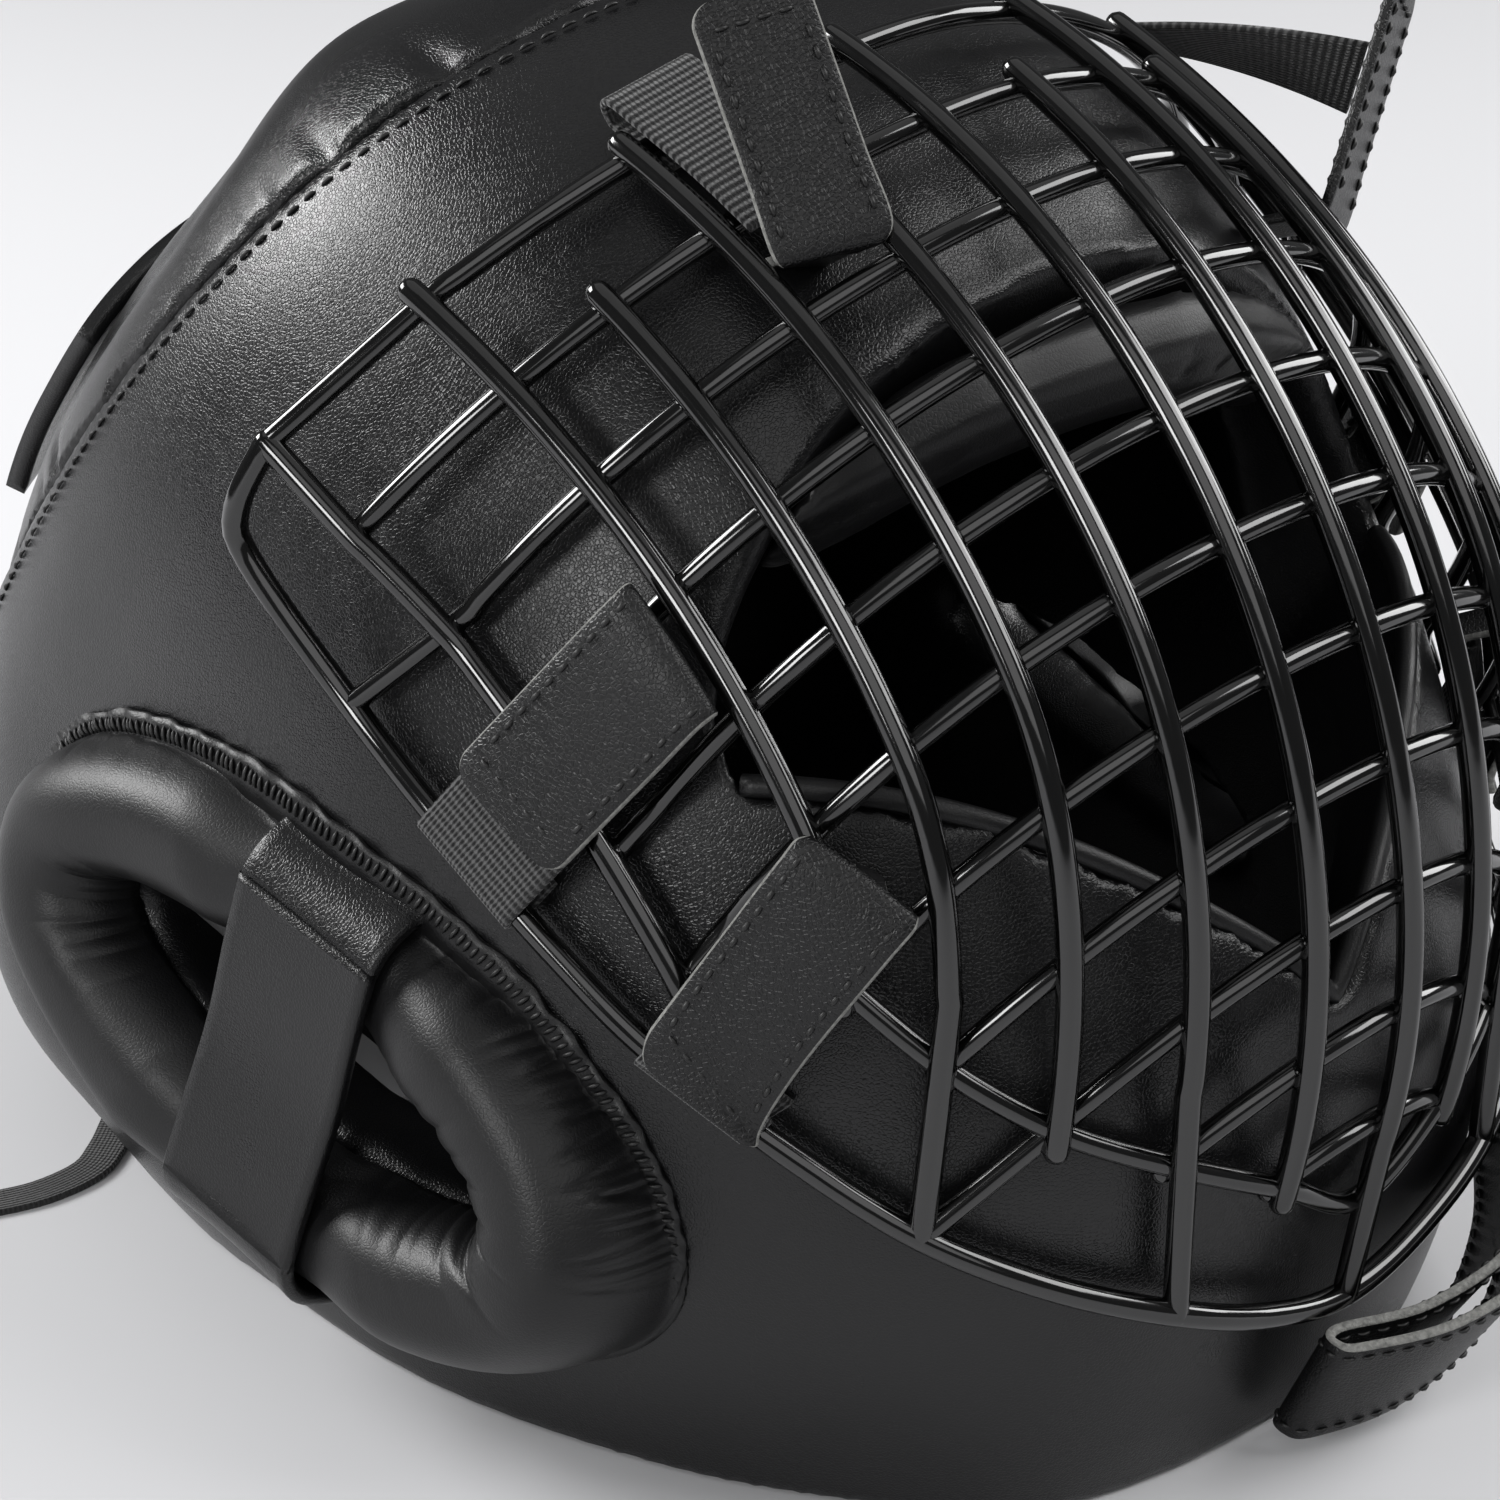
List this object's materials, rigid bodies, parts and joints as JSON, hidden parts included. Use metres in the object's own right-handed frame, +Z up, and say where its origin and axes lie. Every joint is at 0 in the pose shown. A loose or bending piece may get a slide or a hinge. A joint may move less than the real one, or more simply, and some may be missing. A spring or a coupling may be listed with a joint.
{
  "type": "boxing headgear with grille",
  "caption": "Padded leather sparring headgear lying on its neck rim, with a welded wire grille over the face, stuffed ear rings, strap fastenings and a chin strap.",
  "frame": {"origin": "middle of the box round the resting part, on the floor", "axes": "+X is the wearer's left, -Y is the way the face looks along the floor, +Z is up from the floor"},
  "size_m": [0.2367, 0.2918, 0.2197],
  "materials": {
    "matte_leather": "fine matte grain",
    "soft_leather": "soft, creased",
    "strap_leather": "coarse grain, polished",
    "coated_steel": "glossy black dip coating",
    "woven_tape": "ribbed weave"
  },
  "bodies": {
    "root": {"shell": "matte_leather", "crown_panel": "matte_leather", "crown_strap": "matte_leather", "brow_pad": "soft_leather", "grille": "coated_steel", "chin_strap": "strap_leather", "back_lace": "woven_tape", "ear_ring_right": "soft_leather", "ear_bridge_right": "matte_leather", "grille_strap_middle_right": "strap_leather", "strap_tape_middle_right": "woven_tape", "grille_strap_lower_right": "strap_leather", "strap_tape_lower_right": "woven_tape", "grille_strap_top_right": "strap_leather", "strap_tape_top_right": "woven_tape", "ear_ring_left": "soft_leather", "ear_bridge_left": "matte_leather", "grille_strap_middle_left": "strap_leather", "strap_tape_middle_left": "woven_tape", "grille_strap_lower_left": "strap_leather", "strap_tape_lower_left": "woven_tape", "grille_strap_top_left": "strap_leather", "strap_tape_top_left": "woven_tape"}
  },
  "joints": []
}
